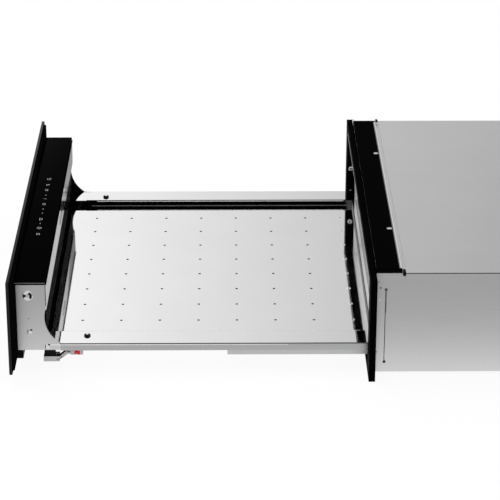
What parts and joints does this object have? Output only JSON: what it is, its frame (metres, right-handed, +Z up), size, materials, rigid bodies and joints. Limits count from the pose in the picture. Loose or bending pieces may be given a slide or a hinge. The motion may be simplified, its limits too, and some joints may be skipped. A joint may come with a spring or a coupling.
{
  "type": "warming drawer",
  "caption": "Built-in warming drawer, open: black glass front, touch control box, perforated tray on telescopic runners, steel cabinet with fan heater.",
  "frame": {"origin": "centre of the cabinet's underside, which lies on the shelf of the kitchen unit", "axes": "+Z up, +Y towards the back of the cabinet, +X towards the right-hand side of a user who faces the front; the drawer opens towards -Y"},
  "size_m": [0.595, 1.0155, 0.1482],
  "materials": {
    "black_glass": "black back-painted glass, polished",
    "black_paint": "satin black powder coat",
    "black_plastic": "fine grain black plastic",
    "brushed_sheet": "sheet steel with a fine brushed grain",
    "polished_sheet": "stainless sheet polished to a mirror",
    "zinc_sheet": "zinc-plated sheet steel",
    "dark_sheet": "dark grey louvred sheet",
    "screw_steel": "bright zinc-plated screw steel",
    "grey_plastic": "light grey moulded plastic",
    "mineral_wool": "pressed mineral wool",
    "circuit_board": "green epoxy circuit board with components",
    "cast_alloy": "cast aluminium alloy",
    "heater_sheath": "dark oxidised heater sheath"
  },
  "bodies": {
    "cabinet": {"back_panel": "zinc_sheet", "base_pan": "zinc_sheet", "body_side_left": "brushed_sheet", "body_side_right": "brushed_sheet", "cabinet_runner_left": "zinc_sheet", "cabinet_runner_right": "zinc_sheet", "cable_gland": "black_plastic", "ceiling_insulation": "mineral_wool", "ceiling_liner": "polished_sheet", "fan_guard": "zinc_sheet", "fan_motor": "cast_alloy", "front_frame": "black_paint", "heater_element": "heater_sheath", "heater_flange": "zinc_sheet", "jamb_screw_left": "screw_steel", "jamb_screw_right": "screw_steel", "latch_body": "grey_plastic", "overheat_thermostat": "black_plastic", "rear_partition": "polished_sheet", "side_insulation_left": "mineral_wool", "side_insulation_right": "mineral_wool", "side_liner_left": "polished_sheet", "side_liner_right": "polished_sheet", "temperature_probe": "screw_steel", "terminal_block": "grey_plastic", "top_cover": "brushed_sheet", "top_trim": "black_paint", "trim_clip_left": "black_plastic", "trim_clip_right": "black_plastic", "trim_screw_left": "screw_steel", "trim_screw_right": "screw_steel"},
    "drawer": {"box_floor": "dark_sheet", "box_rear_strip": "polished_sheet", "box_side_left": "brushed_sheet", "box_side_right": "brushed_sheet", "control_glass": "black_glass", "drawer_runner_left": "zinc_sheet", "drawer_runner_right": "zinc_sheet", "front_adjuster_left": "screw_steel", "front_adjuster_right": "screw_steel", "front_glass": "black_glass", "latch_striker": "zinc_sheet", "louvre_panel": "dark_sheet", "panel_backing": "black_plastic", "panel_bracket": "black_paint", "power_board": "circuit_board", "slide_clip_left": "grey_plastic", "slide_clip_right": "grey_plastic", "touch_board": "circuit_board", "transformer": "dark_sheet", "tray": "polished_sheet", "tray_rear_upstand": "polished_sheet", "tray_screw_left": "screw_steel", "tray_screw_right": "screw_steel"},
    "middle_runner_left": {"middle_runner_left": "zinc_sheet"},
    "middle_runner_right": {"middle_runner_right": "zinc_sheet"},
    "fan_wheel": {"fan_impeller": "zinc_sheet"},
    "latch_plunger": {"latch_plunger": "black_plastic"},
    "release_lever_left": {"release_lever_left": "grey_plastic"},
    "release_lever_right": {"release_lever_right": "grey_plastic"}
  },
  "joints": [
    {"name": "drawer_slide", "type": "slide", "parent": "cabinet", "child": "drawer", "axis": [0, 1, 0], "range_m": [0, 0.448]},
    {"name": "middle_runner_left_slide", "type": "slide", "parent": "cabinet", "child": "middle_runner_left", "axis": [0, 1, 0], "range_m": [0, 0.224]},
    {"name": "middle_runner_right_slide", "type": "slide", "parent": "cabinet", "child": "middle_runner_right", "axis": [0, 1, 0], "range_m": [0, 0.224]},
    {"name": "fan_spin", "type": "hinge", "parent": "cabinet", "child": "fan_wheel", "pos_m": [0, 0.2375, 0.06975], "axis": [0, 1, 0], "continuous": true},
    {"name": "latch_plunger_push", "type": "slide", "parent": "cabinet", "child": "latch_plunger", "axis": [0, 1, 0], "range_m": [0, 0.005], "stiffness_N_per_m": 400, "springref_m": -0.002},
    {"name": "release_lever_left_pull", "type": "hinge", "parent": "drawer", "child": "release_lever_left", "pos_m": [-0.2549, -0.67642, 0.0115], "axis": [-1, 0, 0], "range_deg": [0, 8], "stiffness_Nm_per_rad": 0.05, "springref_deg": -5.73},
    {"name": "release_lever_right_pull", "type": "hinge", "parent": "drawer", "child": "release_lever_right", "pos_m": [0.2549, -0.67642, 0.0115], "axis": [-1, 0, 0], "range_deg": [0, 8], "stiffness_Nm_per_rad": 0.05, "springref_deg": -5.73}
  ],
  "couplings": [
    {"joint": "middle_runner_left_slide", "follows": "drawer_slide", "ratio": 0.5},
    {"joint": "middle_runner_right_slide", "follows": "drawer_slide", "ratio": 0.5}
  ]
}
